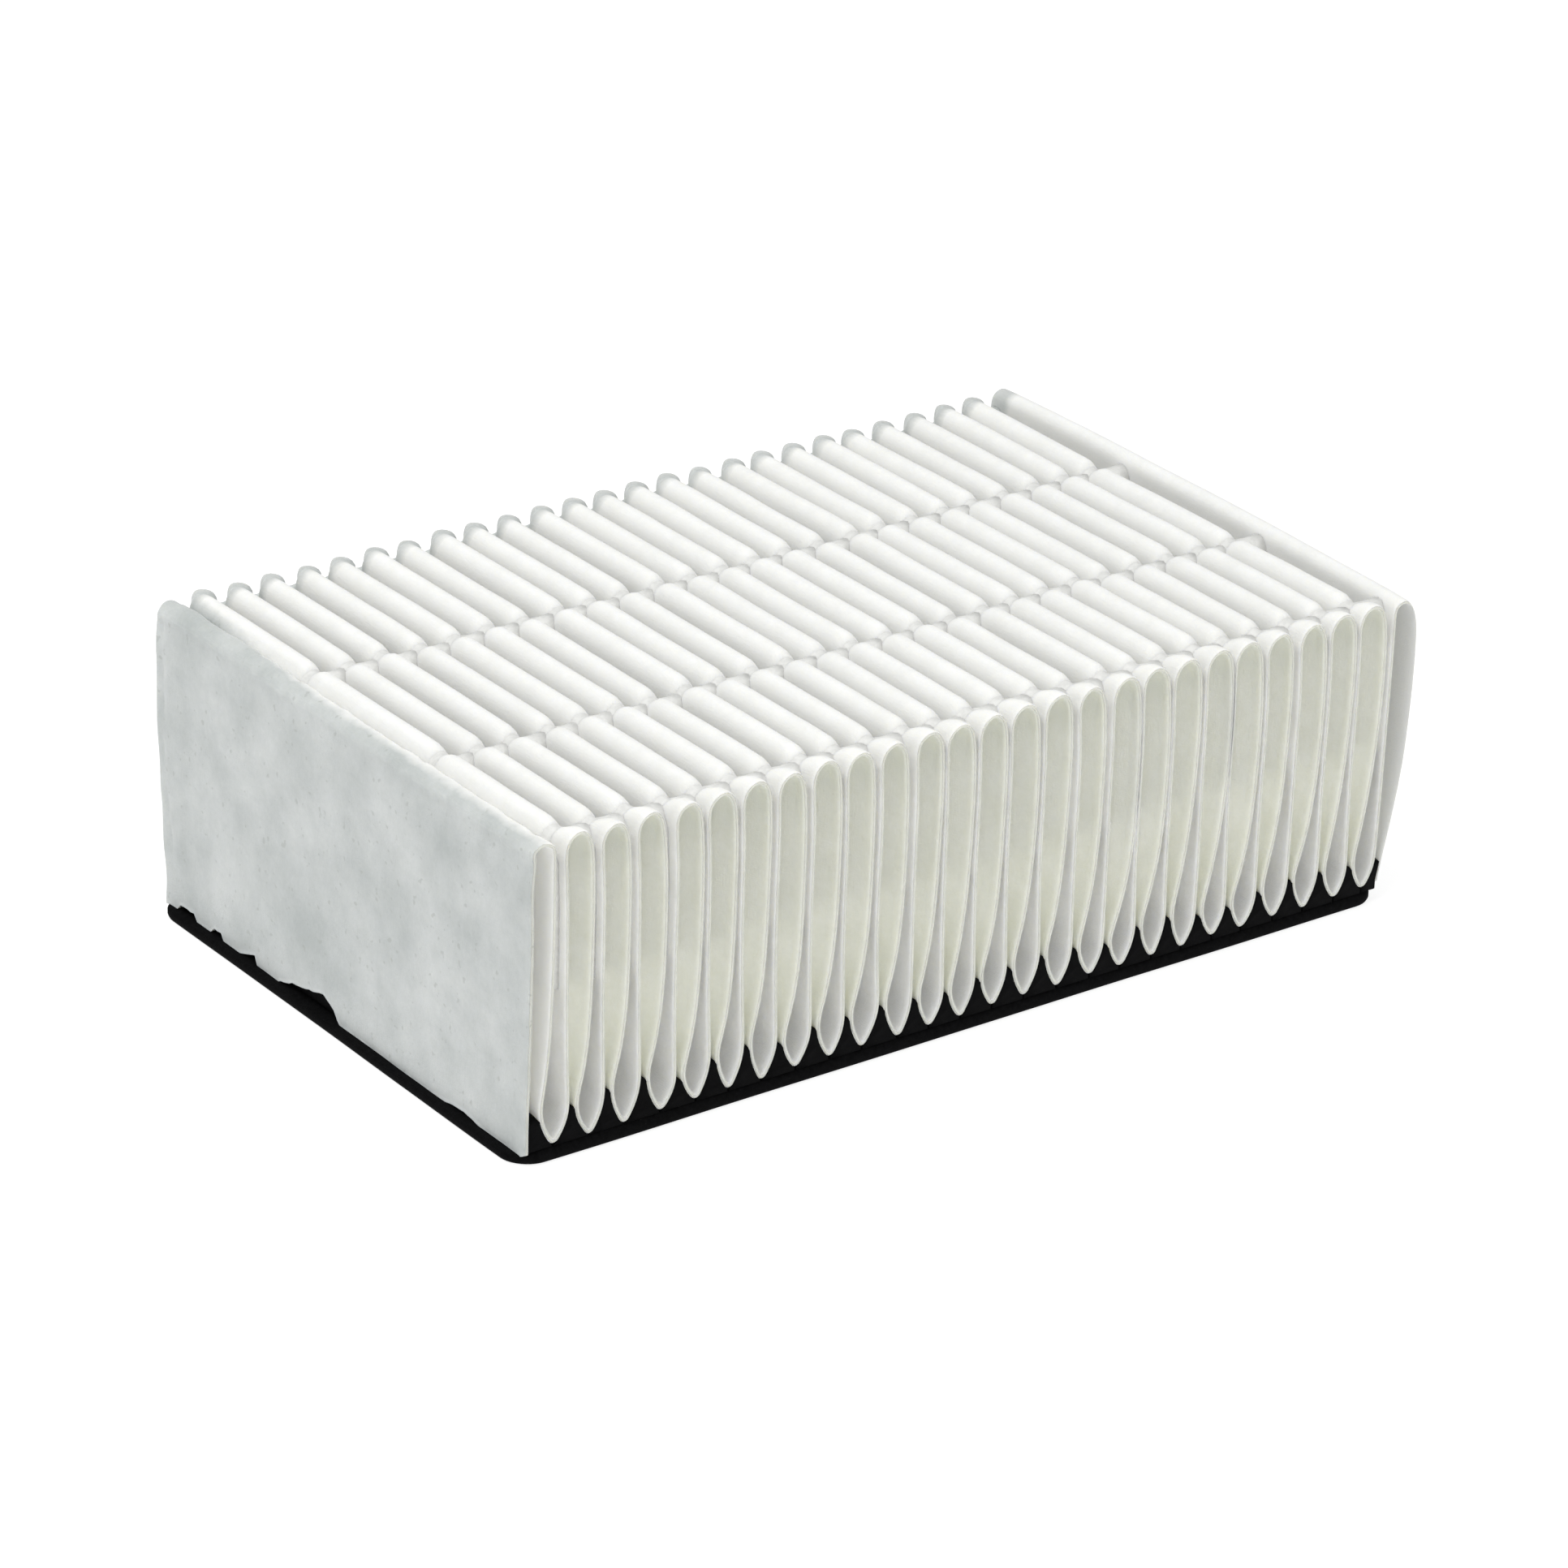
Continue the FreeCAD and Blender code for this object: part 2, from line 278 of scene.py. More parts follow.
# Set colours, not shade: light alone left the grooves, the flap and the rear ends paler than in the photo
# painted shade in the grooves between the crests
GROOVE_PAINTED_SHADE = (0.765, 0.765, 0.75)
# painted shade on the end flap
FLAP_PAINTED_SHADE = ((0.45, 0.478, 0.473), (0.64, 0.66, 0.655))
SPECK_TONE = (0.36, 0.38, 0.36)
# painted shade on the crests' rear ends
REAR_PAINTED_SHADE = ((0.42, 0.44, 0.435), (0.56, 0.58, 0.575))
INSIDE_WHITES = ((0.835, 0.84, 0.77), (0.89, 0.895, 0.835))
# painted shade in the grooves, on the inner face
INSIDE_GROOVE_PAINTED_SHADE = (0.80, 0.81, 0.745)
# painted shade on the flap and the rear ends, on the inner face
INSIDE_PAINTED_SHADE = ((0.78, 0.79, 0.735), (0.85, 0.86, 0.805))
# painted light inside the first pleat, painted shade inside the last
END_PAINTED_LIGHT_AND_SHADE = ((0.95, 0.95, 0.92), (0.80, 0.805, 0.79))   # inside the first pleat and inside the last
EDGE_WHITES = ((0.66, 0.67, 0.615), (0.75, 0.755, 0.70))
# painted shade in the grooves, on the cut edges
EDGE_GROOVE_PAINTED_SHADE = (0.69, 0.695, 0.64)
# painted shade on the flap and the rear ends, on the cut edges
EDGE_PAINTED_SHADE = ((0.58, 0.59, 0.55), (0.68, 0.69, 0.65))
MELT_TONES = ((0.70, 0.70, 0.685), (0.78, 0.78, 0.765))
# painted shade on the rear line's melt, as on the crests' rear ends
REAR_MELT_PAINTED_SHADE = ((0.56, 0.585, 0.575), (0.66, 0.685, 0.675))
GASKET_TONES = ((0.001, 0.001, 0.0012), (0.004, 0.004, 0.0044))
SEALANT_TONES = ((0.002, 0.002, 0.0022), (0.004, 0.004, 0.0044))
FLOOR_TONES = ((0.30, 0.30, 0.30), (0.32, 0.32, 0.32))

# ---------- the room
FLOOR_GLOW = 0.82             # light the floor gives off itself
FLOOR_HALF = 3000.0
FLOOR_GAP = 0.02
WORLD_STRENGTH = 0.38
WORLD_TONE = (0.975, 0.99, 0.99, 1.0)
LIGHT_AIM = (0, 0, 0.015)
# Each lamp's place and size in metres, power in watts, and colour
LIGHTS = {"high_softbox": ((-0.26, 0.03, 0.66), (0.5, 0.5), 3.65, (1.0, 1.0, 0.985)),
          "front_fill": ((0.12, -0.80, 0.24), (0.6, 0.4), 2.0, (1.0, 0.99, 0.96))}
CAMERA_AZIMUTH = -37.24
CAMERA_ELEVATION = 25.45
CAMERA_ROLL = 2.23
CAMERA_DISTANCE = 626.5       # mm, from the middle of the front edge, which sits off centre by
CAMERA_OFFSET = (17.19, -22.36)
CAMERA_TARGET = (50.0, 0.55)  # that middle's distance from the left end, and its height
CAMERA_LENS = 154.3
CAMERA_SENSOR = 36.0

rng = np.random.default_rng(29)


def wander(rows, along, step):
    """Smooth random curves between -1 and 1, one for each row."""
    place = (along - along.min()) / step
    knots = rng.uniform(-1, 1, (rows, int(place.max()) + 3))
    low = place.astype(int)
    part = place - low
    part = part * part * (3 - 2 * part)
    return knots[:, low] * (1 - part) + knots[:, low + 1] * part


def slice_places():
    """Distances from the front at which the sheet is cut into rows, closer near edges and lines."""
    width = BACK - FRONT
    places = [0.0, EDGE_STEP, 2 * EDGE_STEP]
    while places[-1] < width - LAST_GAP:
        here = places[-1]
        near_line = min(abs(here - line) for line in LINE_PLACES.values()) < LINE_REACH
        near_edge = min(here, width - here) < EDGE_REACH
        places.append(here + (FINE_STEP if near_line or near_edge else COARSE_STEP))
    places[-1] = width - 2 * EDGE_STEP
    return np.array(places + [width - EDGE_STEP, width])


YS = slice_places()


# ---------- the fold line at every slice
def notch_amounts():
    """How deep each crest is pinched at every slice, from 0 to 1."""
    amount = np.zeros((PLEATS, len(YS)))
    drift = {}
    for name, place in LINE_PLACES.items():
        along_row = wander(1, np.arange(PLEATS, dtype=float), 5.0)[0] * LINE_SWAY
        centre = place + along_row + rng.normal(0, LINE_SCATTER, PLEATS)
        strength = rng.uniform(*NOTCH_STRENGTHS, PLEATS) * LINE_STRENGTH[name]
        strength[0] *= FIRST_NOTCH
        strength[-1] *= LAST_NOTCH
        half_width = NOTCH_HALF_WIDTH * (0.6 + 0.4 * LINE_STRENGTH[name])
        away = (YS[None, :] - centre[:, None]) / half_width
        amount += strength[:, None] * np.exp(-np.abs(away) ** NOTCH_POWER)
        drift[name] = centre
    return amount, drift


def from_left(ends):
    """Values that go evenly from the left end of the row to the right end, one for each pleat."""
    return np.linspace(*ends, PLEATS)[:, None]


def tip_places():
    """How far each tip is from the flap's outer face, at every slice."""
    number = np.arange(PLEATS - 1)[:, None]
    drift = PITCH_DRIFT * np.sqrt(np.sin(math.pi * (number + 0.5) / (PLEATS - 1)))
    wave = PITCH_WAVE * np.cos(2 * math.pi * (number - WAVE_TOP) / WAVE_PLEATS)
    uneven = rng.normal(0, TIP_SCATTER, (PLEATS - 1, 1)) + TIP_SWAY * wander(PLEATS - 1, YS, 14.0)
    return FIRST_TIP + PITCH * number + drift + wave + uneven


def ease(value):
    """A smooth step from 0 to 1."""
    value = np.clip(value, 0, 1)
    return value * value * (3 - 2 * value)


# How much every slice belongs to the crests' front ends, middles and rear ends, from 0 to 1
PAST_FRONT = ease((YS - 0.6) / (FRONT_END - 0.6))
FRONTWARD = 1 - ease(YS / FRONT_END)
REARWARD = ease((YS - YS[-1] + BACK_END) / BACK_END)
MIDDLE = PAST_FRONT * ease((YS[-1] - YS + 0.4) / BACK_END)
LEFTWARD = PAST_FRONT * (1 - REARWARD)
EDGE_FLARE = np.exp(-YS / 0.5) + np.exp(-(YS[-1] - YS) / 0.5)

# Places across the row and heights, one row of numbers for each pleat
NOTCH, LINE_CENTRES = notch_amounts()
TIPS = tip_places()
PINCHES = np.vstack([TIPS[:1] - PITCH / 2, (TIPS[1:] + TIPS[:-1]) / 2, TIPS[-1:] + PITCH / 2])
CRESTS = PINCHES + from_left(CREST_OFFSET) + rng.normal(0, CREST_SCATTER, (PLEATS, 1))
CRESTS = CRESTS + 0.05 * wander(PLEATS, YS, 9.0)
CRESTS = CRESTS - END_SHIFT * LEFTWARD - BACK_SHIFT * (YS / YS[-1]) ** 2 * LEFTWARD
CRESTS = CRESTS + FRONT_LEAN * FRONTWARD - REAR_LEAN * REARWARD
HEIGHTS = CREST_TOP - SETTLE + rng.normal(0, HEIGHT_SCATTER, (PLEATS, 1)) + 0.04 * wander(PLEATS, YS, 6.0)
HEIGHTS = HEIGHTS + END_RISE * MIDDLE - BACK_DROP * REARWARD - NOTCH_DEPTH * NOTCH
RADII = from_left(CREST_RADIUS) * (1 + rng.normal(0, RADIUS_SCATTER, (PLEATS, 1)))
RADII = RADII * (1 - 0.12 * NOTCH + 0.02 * EDGE_FLARE - REAR_NARROWING * REARWARD)
TIP_LEVELS = GASKET_TOP + np.linspace(0.0, 0.3, PLEATS - 1) + rng.uniform(-0.05, 0.2, PLEATS - 1)
PINCH_LEVELS = PINCH_HEIGHT + rng.normal(0, PINCH_SCATTER, PLEATS)


def hem_heights():
    """Height of the flap's torn hem at every slice."""
    places, heights = zip(*HEM)
    heights = np.interp(YS, places, heights)
    for height, length in HEM_WAVES:
        heights = heights + height * wander(1, YS, length)[0]
    return heights


def relief(rows, row_step, y_step, amplitude):
    """A smooth random field over rows and slices."""
    knot_count = int(rows / row_step) + 3
    knots = wander(knot_count, YS, y_step)
    place = np.arange(rows) / row_step
    low = place.astype(int)
    part = (place - low)[:, None]
    part = part * part * (3 - 2 * part)
    return amplitude * (knots[low] * (1 - part) + knots[low + 1] * part)


def flap_rows():
    """The end flap, from its hem up to the first crest's left side."""
    crest_side = HEIGHTS[0] - THICKNESS / 2 - RADII[0]
    hem = hem_heights()
    share = np.linspace(0, 1, FLAP_ROWS)[:, None]
    z = hem + (crest_side - hem) * share
    lean_in = FLAP_LEAN_IN * np.clip((z - FLAP_LEAN_START) / FLAP_LEAN_RISE, 0, 1) ** 2
    x = THICKNESS / 2 + lean_in
    for shape in FLAP_RELIEF:
        x = x + relief(FLAP_ROWS, *shape)
    return x + rear_dents(z), z


def rear_dents(z):
    """Small upright lens-shaped dents beside the flap's rear edge, from the rear spacer line."""
    dent = np.zeros_like(z)
    for level in np.arange(*DENT_LEVELS):
        place = LINE_PLACES["rear"] + rng.normal(0, 0.12)
        tall = ((z - level - rng.normal(0, 0.4)) / DENT_HALF_HEIGHT) ** 2
        wide = ((YS - place) / DENT_HALF_WIDTH) ** 2
        dent = dent + DENT_DEPTH * np.exp(-tall - wide)
    return dent


def top_bend(index, z):
    """How far a place on an inner pleat is bent sideways, from its height."""
    if index in (0, PLEATS - 1):
        return 0 * z
    return -TOP_BEND * ease((z - BEND_START) / BEND_RISE)


def crest_rise(index):
    """How far a crest's top is above the place where its sides start."""
    return RADII[index] * (CREST_POINT if 0 < index < PLEATS - 1 else 1.0)


def side_reach(index, side):
    """How far sideways a crest's side is from its top. Side 1 is right, -1 is left."""
    if index in (0, PLEATS - 1):
        return RADII[index]
    if side > 0:
        return RADII[index] * (1 + REAR_SHOULDER * REARWARD)
    return RADII[index] * (1 + FRONT_SHOULDER * FRONTWARD - REAR_STEEPNESS * REARWARD)


def crest_arc(index, angles):
    """Middle of the sheet round a crest, at angles from its top in degrees."""
    angle = np.radians(np.array(angles, float))[:, None]
    reach = np.where(angle > 0, side_reach(index, 1), side_reach(index, -1))
    x = CRESTS[index] + reach * np.sin(angle)
    drop = crest_rise(index) * (1 - np.cos(angle))
    held_up = NOTCH_DEPTH * NOTCH[index] * SIDE_HOLD * (1 - np.cos(angle) ** 0.8)
    z = HEIGHTS[index] - THICKNESS / 2 - drop + held_up
    if index == 0:
        x = x + relief(len(x), 2.0, 1.1, FIRST_CREST_LUMPS)
        z = z + relief(len(x), 2.0, 1.0, FIRST_CREST_LUMPS)
    return x + top_bend(index, z), z


def leg_rows(index, side):
    """A long wall, from beside the crest down to the pinch. Side 1 is right, -1 is left."""
    down = np.linspace(0.96, 0.10, LEG_ROWS)[:, None] ** LEG_BUNCHING
    top_x = CRESTS[index] + side * side_reach(index, side)
    top_z = HEIGHTS[index] - THICKNESS / 2 - crest_rise(index) + NOTCH_DEPTH * NOTCH[index] * SIDE_HOLD
    foot_x = PINCHES[index] + side * PINCH_HALF_GAP
    power = LEFT_LEG_POWER
    if side > 0:
        power = from_left(LEG_POWER)[index, 0] + LEG_POWER_SCATTER * rng.normal()
    reach = 1 - (1 - down) ** power
    x = foot_x + (top_x - foot_x) * reach
    bow = WALL_BOW[side] * np.sin(math.pi * down) * wander(1, YS, 16.0)
    ess = WALL_ESS * np.sin(2 * math.pi * down) * wander(1, YS, 11.0)
    set_bow = rng.normal(0, WALL_SET) * np.sin(math.pi * down)
    z = PINCH_LEVELS[index] + (top_z - PINCH_LEVELS[index]) * down
    return x + bow + ess + set_bow + top_bend(index, z), z


def flare_rows(tip, pinch, side):
    """The short wall between a pinch and the tip beside it, rounded like the end of a leaf."""
    down = np.linspace(0.0, 0.88, LEAF_ROWS)[:, None]
    pinch_x = PINCHES[pinch] + side * PINCH_HALF_GAP
    base_z = TIP_LEVELS[tip] + THICKNESS / 2 - 0.2
    x = TIPS[tip] - (TIPS[tip] - pinch_x) * (1 - down ** LEAF_POWER)
    z = PINCH_LEVELS[pinch] + (base_z - PINCH_LEVELS[pinch]) * down
    return x, z + 0 * x


def tip_arc(tip):
    """Middle of the sheet round a tip."""
    angle = np.radians(np.linspace(-TIP_TURN, TIP_TURN, TIP_ROWS))[:, None]
    middle_z = TIP_LEVELS[tip] + THICKNESS / 2 + TIP_RADIUS
    x = TIPS[tip] + TIP_RADIUS * np.sin(angle)
    return x, middle_z - TIP_RADIUS * np.cos(angle) + 0 * x


def smooth_curve(points, per_span):
    """Catmull-Rom samples along a short list of points."""
    data = np.array(points, float)
    data = np.vstack([2 * data[0] - data[1], data, 2 * data[-1] - data[-2]])
    samples = []
    for start in range(len(data) - 3):
        a, b, c, d = data[start:start + 4]
        for t in np.arange(per_span) / per_span:
            samples.append(0.5 * (2 * b + (c - a) * t + (2 * a - 5 * b + 4 * c - d) * t ** 2
                                  + (3 * b - a - 3 * c + d) * t ** 3))
    samples.append(data[-2])
    return np.array(samples)


def last_leg_rows():
    """The bulged right end of the sheet, from its crest down to its foot."""
    points = smooth_curve(LAST_LEG, 3)
    sway = LAST_LEG_SWAY * wander(1, YS, 18.0)
    lump = relief(len(points), 6.0, 6.0, LAST_LEG_LUMPS)
    x = points[:, :1] + sway * np.sin(np.linspace(0.3, math.pi, len(points)))[:, None] + lump
    return x, points[:, 1:] + 0 * x


def set_end_crests():
    """Gives the first and the last crest their own places, radii and heights."""
    CRESTS[-1] = LAST_CREST_PLACE + 0.05 * wander(1, YS, 12.0)[0]
    RADII[-1] = LAST_CREST_RADIUS
    bulge = np.sqrt(np.clip(np.sin(math.pi * YS / YS[-1]), 0, 1))
    HEIGHTS[-1] = CREST_TOP - LAST_CREST_DROP + LAST_CREST_BULGE * bulge + 0.05 * wander(1, YS, 9.0)[0]
    end_shift = FIRST_CREST_END_SHIFT * (1 - LEFTWARD)
    CRESTS[0] = FIRST_CREST_PLACE + 0.06 * wander(1, YS, 9.0)[0] + end_shift
    RADII[0] = FIRST_CREST_RADIUS
    HEIGHTS[0] = HEIGHTS[0] - FIRST_CREST_DROP[0] - FIRST_CREST_DROP[1] * MIDDLE


def fold_line():
    """Middle of the sheet as rows of x and z over the slices, and where each wall's rows lie."""
    xs, zs, walls = [], [], {}

    def add(rows):
        xs.extend(rows[0])
        zs.extend(rows[1])

    add(flap_rows())
    add(crest_arc(0, np.arange(-90, 0, 15)))
    for index in range(PLEATS - 1):
        start = len(xs)
        add(crest_arc(index, np.arange(0, 91, 15)))
        add(leg_rows(index, 1))
        add(flare_rows(index, index, 1))
        add(tip_arc(index))
        walls["falling", index] = (start, len(xs) - 4)
        start = len(xs) - 3
        add([rows[::-1] for rows in flare_rows(index, index + 1, -1)])
        add([rows[::-1] for rows in leg_rows(index + 1, -1)])
        add(crest_arc(index + 1, np.arange(-90, 0, 15)))
        walls["rising", index] = (start, len(xs))
    start = len(xs)
    add(crest_arc(PLEATS - 1, [0, 10]))
    add(last_leg_rows())
    walls["falling", PLEATS - 1] = (start, len(xs))
    return np.array(xs), np.array(zs), walls


def soften(rows):
    """Two passes that round the bends where one stretch of wall meets the next."""
    for _ in range(2):
        inner = 0.25 * rows[:-2] + 0.5 * rows[1:-1] + 0.25 * rows[2:]
        rows = np.vstack([rows[:1], inner, rows[-1:]])
    return rows


def edge_thinning():
    """The sheet's thickness at every slice, as a share: its cut edges are rounded."""
    from_back = YS[-1] - YS
    return 1 - EDGE_ROUNDING * (np.exp(-YS / EDGE_STEP) + np.exp(-from_back / EDGE_STEP))


def sheet_faces():
    """Both faces of the sheet: the upper one, which shows from above, and the lower one."""
    x, z, walls = fold_line()
    x = soften(x)
    z = soften(z)
    step_x = np.gradient(x, axis=0)
    step_z = np.gradient(z, axis=0)
    length = np.hypot(step_x, step_z)
    half = THICKNESS / 2 * (1 + relief(len(x), 5.0, 2.5, 0.06)) * edge_thinning()
    start, end = walls["falling", PLEATS - 1]
    thinning = LAST_LEG_THINNING * ease(np.arange(end - start) / THINNING_ROWS)
    half[start:end] *= 1 - thinning[:, None]
    across_x = -step_z / length * half
    across_z = step_x / length * half
    return (x + across_x, z + across_z), (x - across_x, z - across_z), walls


set_end_crests()
UPPER, LOWER, WALLS = sheet_faces()


# ---------- mesh helpers
def leaned(vertices_mm):
    """Draws the upper pack out towards the back, more the higher and the further back it is."""
    vertices = np.array(vertices_mm, float)
    rise = np.clip((vertices[:, 2] - LEAN_START) / LEAN_RISE, 0, 1)
    vertices[:, 1] += (vertices[:, 1] - FRONT) * BACK_LEAN * np.sin(math.pi / 2 * rise)
    return vertices


def new_mesh(name, vertices_mm, faces, materials, smooth=True):
    """An object in the scene, from vertices in millimetres."""
    mesh = bpy.data.meshes.new(name)
    mesh.from_pydata((np.asarray(vertices_mm) * MM).tolist(), [], faces)
    mesh.update()
    for material in materials:
        mesh.materials.append(material)
    mesh.polygons.foreach_set("use_smooth", [smooth] * len(mesh.polygons))
    thing = bpy.data.objects.new(name, mesh)
    bpy.context.scene.collection.objects.link(thing)
    return thing


def grid_faces(rows, columns, start, flip=False):
    """Quads over a grid of vertices that begin at one number."""
    corner = start + (np.arange(rows - 1)[:, None] * columns + np.arange(columns - 1)[None, :]).ravel()
    order = [corner, corner + 1, corner + columns + 1, corner + columns]
    return np.stack(order[::-1] if flip else order, axis=1)


def join_faces(border_a, border_b):
    """Quads between two borders of equal length."""
    return np.stack([border_a[:-1], border_b[:-1], border_b[1:], border_a[1:]], axis=1)


def media_piece():
    """The folded sheet as one closed mesh: two faces, two cut edges and two ends."""
    rows, columns = UPPER[0].shape
    along = np.arange(rows, dtype=float)
    ragged = BACK_FRAY[0] * wander(1, along, 6.0)[0]
    ragged[:FLAP_ROWS] += FLAP_FRAY * wander(1, along[:FLAP_ROWS], 5.0)[0]
    frayed = FRONT_FRAY[0] * wander(1, along, 5.0)[0]
    y = YS + frayed[:, None] * np.exp(-YS / FRONT_FRAY[1])
    y = y + ragged[:, None] * np.exp(-(YS[-1] - YS) / BACK_FRAY[1])
    sides = [np.stack([x + LEFT, y + FRONT, z], axis=2).reshape(-1, 3) for x, z in (UPPER, LOWER)]
    count = rows * columns
    numbers = np.arange(count).reshape(rows, columns)
    faces = [grid_faces(rows, columns, 0), grid_faces(rows, columns, count, flip=True)]
    for border, flip in ((numbers[:, 0], False), (numbers[:, -1], True),
                         (numbers[0], True), (numbers[-1], False)):
        strip = join_faces(border, border + count)
        faces.append(strip[:, ::-1] if flip else strip)
    materials = [FLEECE, FLEECE_INSIDE, FLEECE_EDGE]
    piece = new_mesh("fleece_sheet", leaned(np.vstack(sides)), np.vstack(faces).tolist(), materials)
    slots = (0, 1, 2, 2, 0, 0)
    slot_of_face = np.repeat(np.array(slots, dtype=np.int32), [len(part) for part in faces])
    piece.data.polygons.foreach_set("material_index", slot_of_face)
    return piece


def loft(sections, offset):
    """A closed tube through sections of equal length, with a cap at each end."""
    count = len(sections[0])
    vertices = np.vstack(sections)
    faces = []
    for level in range(len(sections) - 1):
        first = offset + level * count
        for point in range(count):
            following = (point + 1) % count
            above = first + count
            faces.append((first + point, first + following, above + following, above + point))
    faces.append(tuple(offset + point for point in range(count))[::-1])
    last = offset + (len(sections) - 1) * count
    faces.append(tuple(last + point for point in range(count)))
    return vertices, faces


class Collector:
    """Gathers closed tubes into one piece."""

    def __init__(self):
        self.vertices = []
        self.faces = []

    def add(self, sections):
        vertices, faces = loft(sections, sum(len(part) for part in self.vertices))
        self.vertices.append(vertices)
        self.faces.extend(faces)

    def piece(self, name, material):
        return new_mesh(name, leaned(np.vstack(self.vertices)), self.faces, [material])


def wall_x(face, wall, column, levels):
    """Where one face of a wall lies at some heights."""
    start, end = WALLS[wall]
    z = face[1][start:end, column]
    x = face[0][start:end, column]
    order = np.argsort(z)
    return np.interp(levels, z[order], x[order])


def slice_at(place):
    """Number of the slice nearest to a distance from the front."""
    return int(np.argmin(np.abs(YS - place)))


def outline(left, right, levels, peak, place):
    """A section at one distance from the front: up its left side, over its middle, down its right."""
    xs = np.concatenate([left, [(left[-1] + right[-1]) / 2], right[::-1]])
    zs = np.concatenate([levels, [levels[-1] + peak], levels[::-1]])
    return np.stack([xs + LEFT, np.full(len(xs), place + FRONT), zs], axis=1)


def gap_section(face, walls, place, levels, overlap, peak):
    """Outline of the melt between two walls, which reaches a little into both."""
    column = slice_at(place)
    left = wall_x(face, walls[0], column, levels) - overlap
    right = wall_x(face, walls[1], column, levels) + overlap
    return outline(left, right, levels, peak, place)


# ---------- procedural materials
def set_inputs(tree, node, inputs):
    """Gives each input of a node a value, or a link from another node's output."""
    for key, value in inputs.items():
        if isinstance(value, bpy.types.NodeSocket):
            tree.links.new(value, node.inputs[key])
        else:
            node.inputs[key].default_value = value


def add_node(tree, kind, inputs, **settings):
    """A new shader node, with its inputs and settings."""
    node = tree.nodes.new("ShaderNode" + kind)
    for setting, value in settings.items():
        setattr(node, setting, value)
    set_inputs(tree, node, inputs)
    return node


def new_material(name, roughness, specular):
    """A material with its node tree and its shader."""
    material = bpy.data.materials.new(name)
    material.use_nodes = True
    shader = material.node_tree.nodes["Principled BSDF"]
    set_inputs(material.node_tree, shader, {"Roughness": roughness, "Specular IOR Level": specular})
    return material, material.node_tree, shader


def place_on_object(tree, scale, rotation=(0, 0, 0)):
    """Where a texture is read: the place on the object, scaled and turned."""
    where = add_node(tree, "TexCoord", {})
    inputs = {"Vector": where.outputs["Object"], "Scale": scale, "Rotation": rotation}
    return add_node(tree, "Mapping", inputs).outputs["Vector"]


def noise(tree, size_mm, detail, stretch=(1, 1, 1), rotation=(0, 0, 0)):
    """Noise whose features are about size_mm wide, drawn out by stretch."""
    scale = tuple(1 / (size_mm * MM * factor) for factor in stretch)
    inputs = {"Vector": place_on_object(tree, scale, rotation), "Scale": 1.0,
              "Detail": detail, "Roughness": NOISE_ROUGHNESS}
    return add_node(tree, "TexNoise", inputs).outputs["Fac"]


def math_node(tree, operation, first, second):
    return add_node(tree, "Math", {0: first, 1: second}, operation=operation).outputs[0]


def weighted_sum(tree, parts):
    """Sum of values, each times its weight."""
    total = None
    for value, weight in parts:
        term = math_node(tree, "MULTIPLY", value, weight)
        total = term if total is None else math_node(tree, "ADD", total, term)
    return total


def spread(tree, value, low, high, to_low=0.0, to_high=1.0):
    """Maps low to high onto to_low to to_high, and holds the ends."""
    inputs = {"Value": value, "From Min": low, "From Max": high, "To Min": to_low, "To Max": to_high}
    return add_node(tree, "MapRange", inputs).outputs["Result"]


def mix_colours(tree, factor, first, second):
    """From the first colour at factor 0 to the second at 1. Each is a tuple or a node's output."""
    first, second = ((*value, 1.0) if isinstance(value, tuple) else value for value in (first, second))
    inputs = {MIX_FACTOR: factor, MIX_FIRST: first, MIX_SECOND: second}
    return add_node(tree, "Mix", inputs, data_type="RGBA").outputs[MIX_RESULT]


def add_bump(tree, shader, height, distance_mm, strength):
    inputs = {"Height": height, "Distance": distance_mm * MM, "Strength": strength}
    set_inputs(tree, shader, {"Normal": add_node(tree, "Bump", inputs).outputs["Normal"]})


def band(tree, value, low_mm, high_mm, to_low=0.0, to_high=1.0):
    """The same as spread, over places given in millimetres."""
    return spread(tree, value, low_mm * MM, high_mm * MM, to_low, to_high)


def flap_shade_share(tree, x, y, drift):
    """Share of painted shade: 1 on the end flap and over the side of the first crest, 0 further to the right.
    """
    further = band(tree, y, BACK - FLAP_SHADE_SPREAD_SPAN[0], BACK - FLAP_SHADE_SPREAD_SPAN[1], 0.0, FLAP_SHADE_SPREAD * MM)
    edge = math_node(tree, "SUBTRACT", math_node(tree, "SUBTRACT", x, drift), further)
    return band(tree, edge, LEFT + FLAP_SHADE_REACH, LEFT + FLAP_SHADE_REACH + SHADE_FADE, 1.0, 0.0)


def rear_shade_share(tree, y, drift):
    """Share of painted shade: the rear share at the crests' rear ends, 0 before them."""
    start = BACK + REAR_SHADE_START
    return band(tree, math_node(tree, "ADD", y, drift), start, start + SHADE_FADE, 0.0, REAR_SHADE_AMOUNT)


def groove_shade_share(tree, x, z):
    """Share of painted shade in the grooves: 1 between the crests, 0 on their tops and further down the
    walls.
    """
    lift = band(tree, x, LEFT + FIRST_GROOVE[0], LEFT + FIRST_GROOVE[1], FIRST_GROOVE_LIFT * MM, 0.0)
    level = math_node(tree, "ADD", z, lift)
    under_tops = band(tree, level, CREST_TOP - GROOVE_HEAD[0], CREST_TOP - GROOVE_HEAD[1], 1.0, 0.0)
    above_walls = band(tree, level, CREST_TOP - GROOVE_FOOT[0], CREST_TOP - GROOVE_FOOT[1])
    return math_node(tree, "MULTIPLY", under_tops, above_walls)


